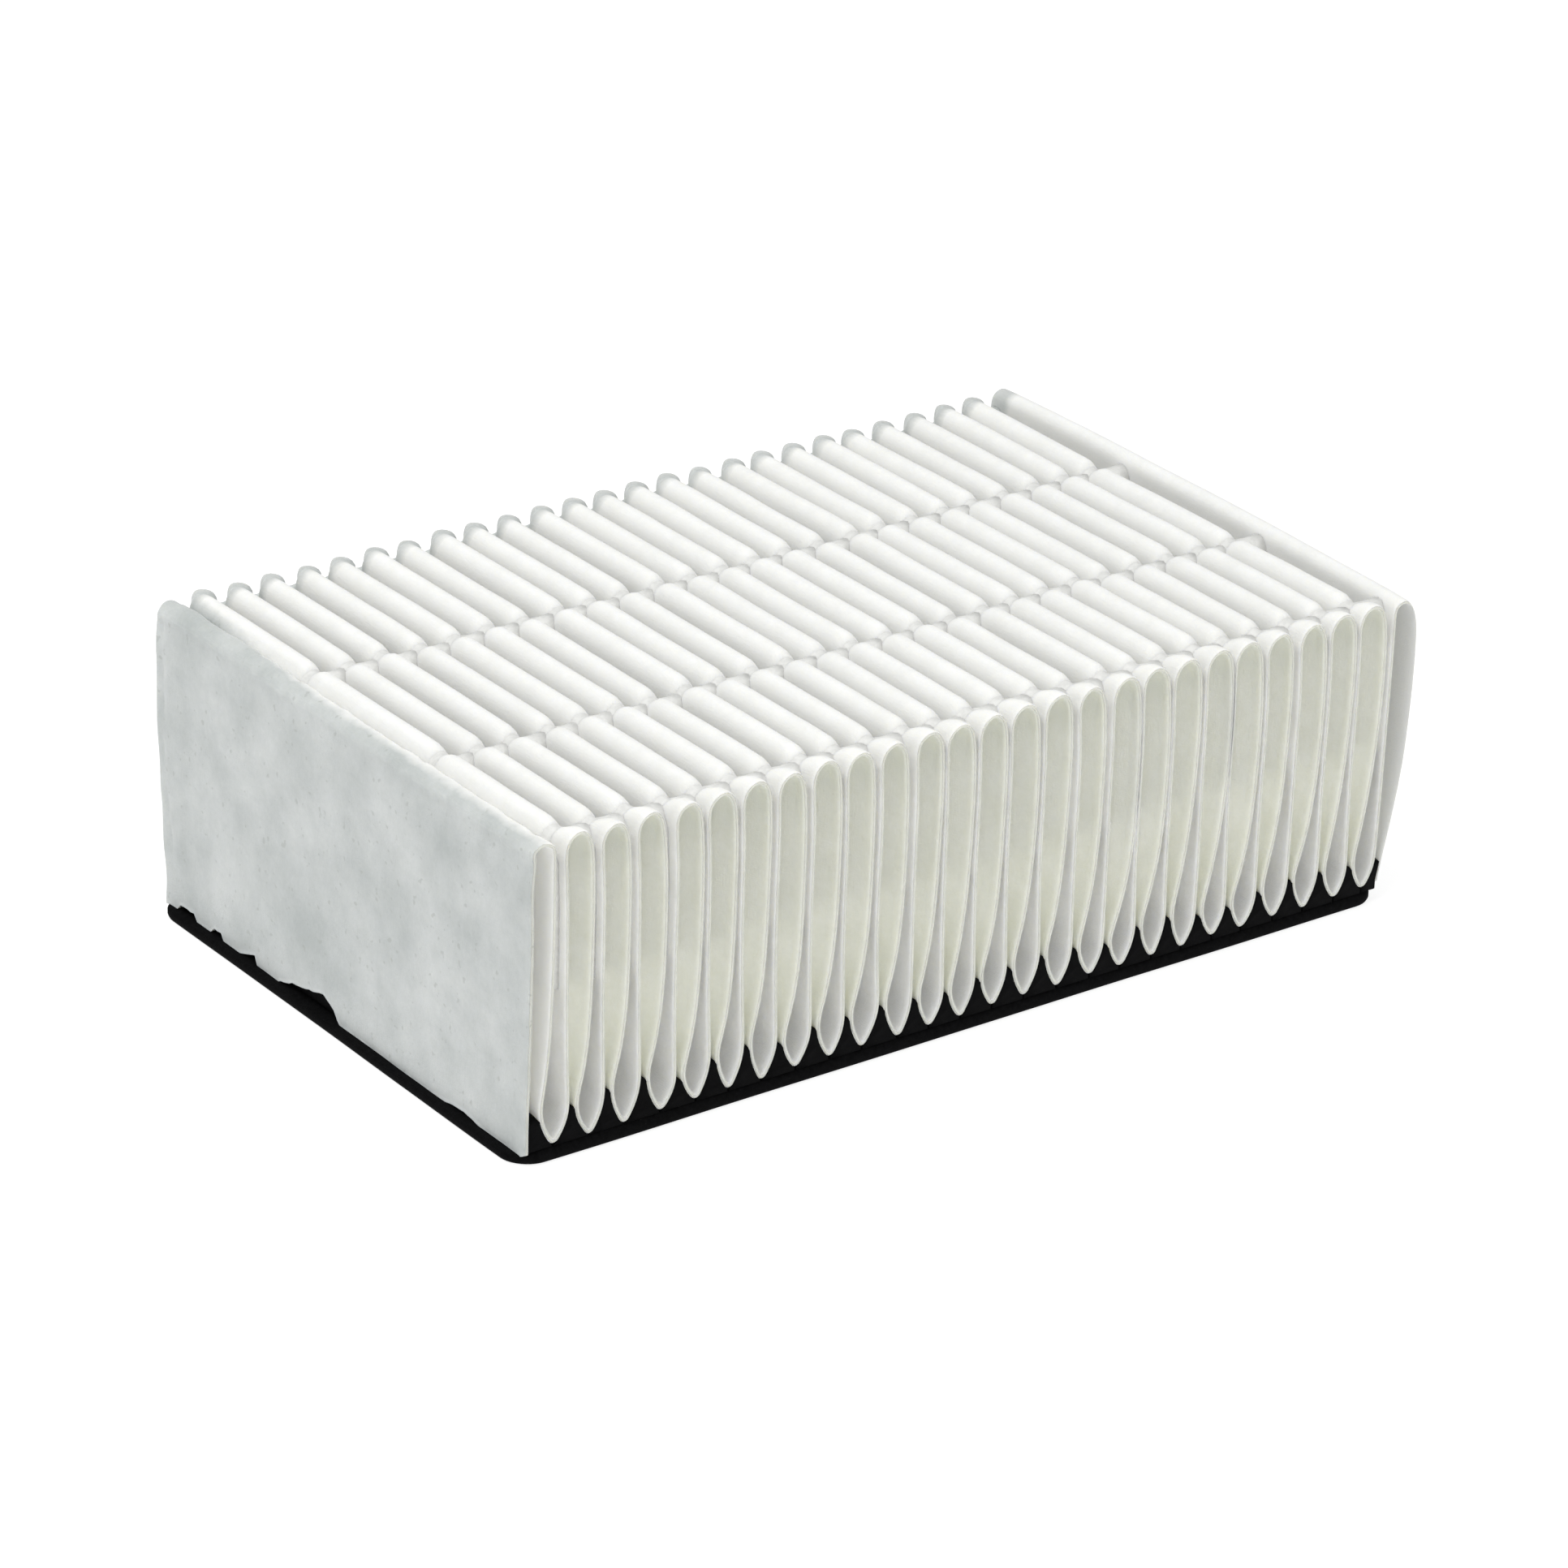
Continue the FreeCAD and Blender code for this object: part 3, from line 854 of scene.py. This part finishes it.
def fleece_material(name, whites, groove_shade_colour, flap_shade_colours, rear_shade_colours, end_light_and_shade=None):
    """Nonwoven: matted fibres in all directions, cloudy thickness, and painted shade in the grooves, on the
    flap and on the rear ends; when end tones are given, painted light inside the first pleat and painted
    shade inside the last.
    """
    material, tree, shader = new_material(name, 0.92, 0.15)
    fibres = [noise(tree, FIBRE_WIDTH, 2.0, stretch, turn) for stretch, turn in FIBRE_DIRECTIONS]
    grain = noise(tree, 0.22, 4.0)
    cloud = noise(tree, 2.4, 3.0)
    flecks = noise(tree, 0.55, 2.0)
    patches = noise(tree, 8.0, 2.0)
    parts = [(fibre, 0.3) for fibre in fibres] + [(grain, 0.45), (flecks, 0.35)]
    add_bump(tree, shader, weighted_sum(tree, parts), 0.10, 0.7)

    tone = weighted_sum(tree, [(cloud, 0.6), (flecks, 0.25), (grain, 0.15)])
    white = mix_colours(tree, spread(tree, tone, 0.36, 0.64), *whites)
    uneven = weighted_sum(tree, [(patches, 0.62), (cloud, 0.18), (flecks, 0.12), (grain, 0.08)])
    uneven = spread(tree, uneven, 0.34, 0.66)
    specks = spread(tree, noise(tree, SPECK_SIZE, 1.0), 0.68, 0.74, 0.0, 0.4)
    # painted shade on the flap, with dark specks over it
    flap_shade_with_specks = mix_colours(tree, specks, mix_colours(tree, uneven, *flap_shade_colours), SPECK_TONE)
    rear_shade_colour = mix_colours(tree, uneven, *rear_shade_colours)

    where = add_node(tree, "TexCoord", {})
    x, y, z = add_node(tree, "SeparateXYZ", {"Vector": where.outputs["Object"]}).outputs
    drift = spread(tree, noise(tree, 1.6, 3.0), 0.0, 1.0, -SHADE_WANDER * MM, SHADE_WANDER * MM)
    # painted shade: in the grooves, on the crests' rear ends and on the end flap
    colour = mix_colours(tree, groove_shade_share(tree, x, z), white, groove_shade_colour)
    colour = mix_colours(tree, rear_shade_share(tree, y, drift), colour, rear_shade_colour)
    colour = mix_colours(tree, flap_shade_share(tree, x, y, drift), colour, flap_shade_with_specks)
    # painted light inside the first pleat, painted shade inside the last
    if end_light_and_shade:
        in_first = band(tree, x, LEFT + INSIDE_FIRST[0], LEFT + INSIDE_FIRST[1], 1.0, 0.0)
        in_last = band(tree, x, LEFT + INSIDE_LAST[0], LEFT + INSIDE_LAST[1])
        colour = mix_colours(tree, in_first, colour, end_light_and_shade[0])
        colour = mix_colours(tree, in_last, colour, end_light_and_shade[1])
    set_inputs(tree, shader, {"Base Color": colour, **FLEECE_SHADING})
    return material


def melt_material(name, tones):
    """Set hot melt: milky, a little glossy and slightly lumpy."""
    material, tree, shader = new_material(name, 0.6, 0.2)
    lumps = noise(tree, 0.6, 2.0)
    fine = noise(tree, 0.12, 2.0)
    add_bump(tree, shader, weighted_sum(tree, [(lumps, 0.8), (fine, 0.2)]), 0.05, 0.6)
    colour = mix_colours(tree, spread(tree, lumps, 0.35, 0.65), *tones)
    set_inputs(tree, shader, {"Base Color": colour, "Roughness": spread(tree, fine, 0.3, 0.7, 0.5, 0.7)})
    return material


def black_material(name, pore_mm, roughness, tones):
    """Black soft material with fine pores and faint wear."""
    material, tree, shader = new_material(name, roughness, 0.06)
    place = place_on_object(tree, (1 / (pore_mm * MM),) * 3)
    pores = add_node(tree, "TexVoronoi", {"Vector": place, "Scale": 1.0})
    grain = noise(tree, 0.5, 4.0)
    height = weighted_sum(tree, [(pores.outputs["Distance"], 0.6), (grain, 0.4)])
    add_bump(tree, shader, height, 0.06, 0.6)
    colour = mix_colours(tree, spread(tree, grain, 0.35, 0.65), *tones)
    worn = spread(tree, grain, 0.3, 0.7, roughness - 0.08, roughness + 0.08)
    set_inputs(tree, shader, {"Base Color": colour, "Roughness": worn})
    return material


FLEECE = fleece_material("white_fleece", FLEECE_WHITES, GROOVE_PAINTED_SHADE, FLAP_PAINTED_SHADE, REAR_PAINTED_SHADE)
FLEECE_INSIDE = fleece_material("fleece_inside", INSIDE_WHITES, INSIDE_GROOVE_PAINTED_SHADE,
                                INSIDE_PAINTED_SHADE, INSIDE_PAINTED_SHADE, END_PAINTED_LIGHT_AND_SHADE)
FLEECE_EDGE = fleece_material("fleece_cut_edge", EDGE_WHITES, EDGE_GROOVE_PAINTED_SHADE, EDGE_PAINTED_SHADE, EDGE_PAINTED_SHADE)
MELT = melt_material("milky_hot_melt", MELT_TONES)
REAR_MELT = melt_material("rear_hot_melt_painted_shade", REAR_MELT_PAINTED_SHADE)
GASKET_BLACK = black_material("black_soft_gasket", 0.16, 0.85, GASKET_TONES)
SEALANT_BLACK = black_material("black_sealant", 0.7, 0.8, SEALANT_TONES)


# ---------- the pieces
def settle(piece, slot, *nodes):
    """Puts a piece on the one body, in the place of the nodes it stands for."""
    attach(piece, "root")
    if nodes:
        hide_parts(*nodes)


def crest_strap(index, centre):
    """The thin flattened stretch of a spacer line that runs over a crest, inside its notch."""
    start = WALLS["falling", index][0]
    rows = np.arange(start + STRAP_ROWS[0], start + STRAP_ROWS[1])
    rings = []
    for row in rows:
        share = (row - rows[0]) / (len(rows) - 1)
        half = STRAP_HALF_WIDTH + STRAP_RIPPLE * math.sin(9 * share + index)
        ring = []
        for across, lift in STRAP_RING:
            place = np.clip(centre + across * half, STRAP_MARGIN, YS[-1] - STRAP_MARGIN)
            x, z = (np.interp(place, YS, part[row]) for part in UPPER)
            back_x, back_z = (np.interp(place, YS, part[row]) for part in LOWER)
            outward = lift / math.hypot(x - back_x, z - back_z)
            ring.append((x + (x - back_x) * outward + LEFT, place + FRONT, z + (z - back_z) * outward))
        rings.append(np.array(ring))
    return rings


def valley_melt(name, valley, centre):
    """Melt in one valley of an upper line, low at its front and back."""
    top = HEIGHTS[valley:valley + 2, slice_at(centre)].min() - UPPER_SINK - rng.uniform(0, 0.10)
    if valley == 0:
        top -= FIRST_SINK
    if name == "rear":
        top -= REAR_SINK
    walls = ("falling", valley), ("rising", valley)
    sections = []
    for away, lower in MOUND:
        place = min(max(centre + away, LINE_MARGIN), YS[-1] - LINE_MARGIN)
        levels = np.linspace(LINE_FOOT, top - lower, LINE_LEVELS)
        sections.append(gap_section(UPPER, walls, place, levels, UPPER_OVERLAP, -UPPER_DIP))
    return sections


def upper_line(name):
    """One upper spacer line: melt in every valley and a strap over every crest but the end ones."""
    parts = Collector()
    centres = LINE_CENTRES[name]
    for valley in range(PLEATS - 1):
        parts.add(valley_melt(name, valley, (centres[valley] + centres[valley + 1]) / 2))
    for crest in range(1, PLEATS - 1):
        parts.add(crest_strap(crest, centres[crest]))
    material = REAR_MELT if name == "rear" else MELT
    settle(parts.piece("upper_line_" + name, material), "hot_melt", "upper_bead_" + name)


def bead_ring(section, place, shrink):
    """A section moved to another distance from the front, drawn in a little and lowered by shrink."""
    ring = section.copy()
    ring[:, 1] = place + FRONT
    middle = (ring[:, 0].max() + ring[:, 0].min()) / 2
    ring[:, 0] = middle + (ring[:, 0] - middle) * (1 - shrink)
    ring[:, 2] -= shrink * BEAD_END_DROP
    return ring


def lower_line(name):
    """One lower spacer line: melt between the walls under every crest but the end ones."""
    parts = Collector()
    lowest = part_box("lower_bead_" + name)[0][2] / MM
    for crest in range(1, PLEATS - 1):
        centre = LINE_CENTRES[name][crest]
        levels = np.linspace(lowest, LINE_FOOT + rng.uniform(-0.6, 0.4), LINE_LEVELS)
        walls = ("rising", crest - 1), ("falling", crest)
        section = gap_section(LOWER, walls, centre, levels, LOWER_OVERLAP, LOWER_PEAK)
        parts.add([bead_ring(section, centre + away, shrink) for away, shrink in BEAD_STEPS])
    settle(parts.piece("lower_line_" + name, MELT), "hot_melt", "lower_bead_" + name)


def sealant_wedge(crest, places, top):
    """Black sealant between the two tips under one crest, along some distances from the front."""
    sections = []
    rise = wander(1, np.array(places), 3.0)[0] * SEALANT_WAVE
    rise[[0, -1]] -= SEALANT_END_DROP
    for place, higher in zip(places, rise):
        levels = np.linspace(GASKET_TOP - SEALANT_SINK, top + higher, SEALANT_LEVELS)
        column = slice_at(place)
        right = wall_x(LOWER, ("falling", crest), column, levels) + SEALANT_OVERLAP
        left = np.full(SEALANT_LEVELS, FLAP_INSIDE)
        if crest > 0:
            left = wall_x(LOWER, ("rising", crest - 1), column, levels) - SEALANT_OVERLAP
        if crest == PLEATS - 1:
            right = right - LAST_LEG_GAP
        sections.append(outline(left, right, levels, SEALANT_PEAK, place))
    return sections


def sealant_pieces():
    """Sealant along the front and the rear, between all inner tips, and under the two end crests."""
    inward = np.array(SEALANT_STEPS)
    for name, places in (("front", inward), ("rear", YS[-1] - inward[::-1])):
        parts = Collector()
        for crest in range(1, PLEATS - 1):
            parts.add(sealant_wedge(crest, places, PINCH_LEVELS[crest] - SEALANT_UNDER_PINCH))
        settle(parts.piece("sealant_strip_" + name, SEALANT_BLACK), "black_sealant", "sealant_" + name)
    full = np.linspace(END_SEALANT_MARGIN, YS[-1] - END_SEALANT_MARGIN, 60)
    for name, crest, top in END_SEALANTS:
        parts = Collector()
        parts.add(sealant_wedge(crest, full, top))
        settle(parts.piece("sealant_strip_" + name, SEALANT_BLACK), "black_sealant", "sealant_" + name)


def rounded_outline(low, high, inset, radius):
    """Points round a rectangle with round corners, always as many. Inset draws its sides inwards."""
    low_x, low_y = low[0] + inset + radius, low[1] + inset + radius
    high_x, high_y = high[0] - inset - radius, high[1] - inset - radius
    centres = [(high_x, high_y), (low_x, high_y), (low_x, low_y), (high_x, low_y)]
    points = []
    for corner, (x, y) in enumerate(centres):
        for step in range(CORNER_STEPS + 1):
            angle = math.radians(90 * (corner + step / CORNER_STEPS))
            points.append((x + radius * math.cos(angle), y + radius * math.sin(angle)))
        next_x, next_y = centres[(corner + 1) % 4]
        begin = np.array(points[-1])
        end = begin + (next_x - x, next_y - y)
        steps = SIDE_STEPS[corner % 2]
        points.extend(begin + (end - begin) * step / steps for step in range(1, steps))
    return np.array(points)


def gasket_piece():
    """The soft black frame: rounded rims, slightly uneven, lower outside the end flap."""
    outer = rounded_outline(GASKET_LOW, GASKET_HIGH, 0.0, OUTER_CORNER)
    inner = rounded_outline(GASKET_LOW, GASKET_HIGH, RAIL, INNER_CORNER)
    outward = (outer - inner) / np.linalg.norm(outer - inner, axis=1)[:, None]
    count = len(outer)
    wave = GASKET_WAVE * wander(1, np.arange(count, dtype=float), 9.0)[0]
    wave[-9:] += (wave[0] - wave[-1]) * np.linspace(0, 1, 9)
    rings = []
    for share, height in GASKET_PROFILE:
        points = inner + (outer - inner) * share + outward * (wave * share)[:, None]
        z = np.full(count, height)
        if height > LIP_TOP:
            outside = points[:, 0] < LEFT + THICKNESS + 0.1
            z[outside] = LIP_TOP + (height - LIP_TOP) * 0.1
        rings.append(np.column_stack([points, z]))
    faces = []
    for ring in range(len(rings)):
        this = ring * count
        following_ring = (ring + 1) % len(rings) * count
        for point in range(count):
            following = (point + 1) % count
            faces.append((this + point, this + following, following_ring + following, following_ring + point))
    piece = new_mesh("soft_gasket_frame", np.vstack(rings), faces, [GASKET_BLACK])
    settle(piece, "black_gasket", "gasket_frame")


def sheet_piece():
    """The folded sheet, as one piece."""
    piece = media_piece()
    settle(piece, "filter_fleece", "pleated_media")


# ---------- stage
def area_light(name, place, size, power, colour):
    """A rectangular light that faces LIGHT_AIM."""
    light = bpy.data.lights.new(name, "AREA")
    light.shape = "RECTANGLE"
    light.size, light.size_y = size
    light.energy = power
    light.color = colour
    thing = bpy.data.objects.new(name, light)
    thing.location = place
    thing.rotation_euler = (Vector(place) - Vector(LIGHT_AIM)).to_track_quat("Z", "Y").to_euler()
    bpy.context.scene.collection.objects.link(thing)


def glowing_floor():
    """A pale floor that gives off most of its light itself, so it stays white beside the insert."""
    material, tree, shader = new_material("pale_floor", 0.9, 0.1)
    cloud = noise(tree, 60.0, 2.0)
    colour = mix_colours(tree, cloud, *FLOOR_TONES)
    glow = {"Emission Color": (1.0, 1.0, 1.0, 1.0), "Emission Strength": FLOOR_GLOW}
    set_inputs(tree, shader, {"Base Color": colour, **glow})
    material.cycles.emission_sampling = "NONE"
    half = FLOOR_HALF
    corners = [(-half, -half, 0), (half, -half, 0), (half, half, 0), (-half, half, 0)]
    floor = new_mesh("floor", np.array(corners), [(0, 1, 2, 3)], [material], smooth=False)
    floor.location.z = CAD_LOW[2] - FLOOR_GAP * MM


def studio():
    """The floor, the room's light and the two lamps."""
    glowing_floor()
    world = bpy.data.worlds.new("soft_room")
    world.use_nodes = True
    tree = world.node_tree
    set_inputs(tree, tree.nodes["Background"], {"Color": WORLD_TONE, "Strength": WORLD_STRENGTH})
    bpy.context.scene.world = world
    for name, values in LIGHTS.items():
        area_light(name, *values)
    bpy.context.scene.cycles.max_bounces = 12
    bpy.context.scene.cycles.diffuse_bounces = 8


def camera():
    """The camera at the place the photograph was taken from."""
    azimuth, elevation, roll = (math.radians(v) for v in (CAMERA_AZIMUTH, CAMERA_ELEVATION, CAMERA_ROLL))
    level = math.cos(elevation)
    back = Vector((math.sin(azimuth) * level, -math.cos(azimuth) * level, math.sin(elevation)))
    right = Vector((0, 0, 1)).cross(back).normalized()
    up = back.cross(right)
    side = right * math.cos(roll) + up * math.sin(roll)
    top = up * math.cos(roll) - right * math.sin(roll)
    front_middle = Vector((LEFT + CAMERA_TARGET[0], FRONT, CAMERA_TARGET[1]))
    away = side * CAMERA_OFFSET[0] + top * CAMERA_OFFSET[1] - back * CAMERA_DISTANCE
    place = (front_middle - away) * MM
    data = bpy.data.cameras.new("camera")
    data.lens = CAMERA_LENS
    data.sensor_width = CAMERA_SENSOR
    data.clip_start = 0.01
    data.clip_end = 20.0
    thing = bpy.data.objects.new("camera", data)
    turn = Matrix((side, top, back)).transposed()
    thing.matrix_world = Matrix.Translation(place) @ turn.to_4x4()
    bpy.context.scene.collection.objects.link(thing)
    bpy.context.scene.camera = thing


sheet_piece()
for line_name in LINE_NAMES:
    upper_line(line_name)
    lower_line(line_name)
sealant_pieces()
gasket_piece()
studio()
camera()
bpy.context.scene.view_settings.view_transform = "Standard"
bpy.context.view_layer.update()
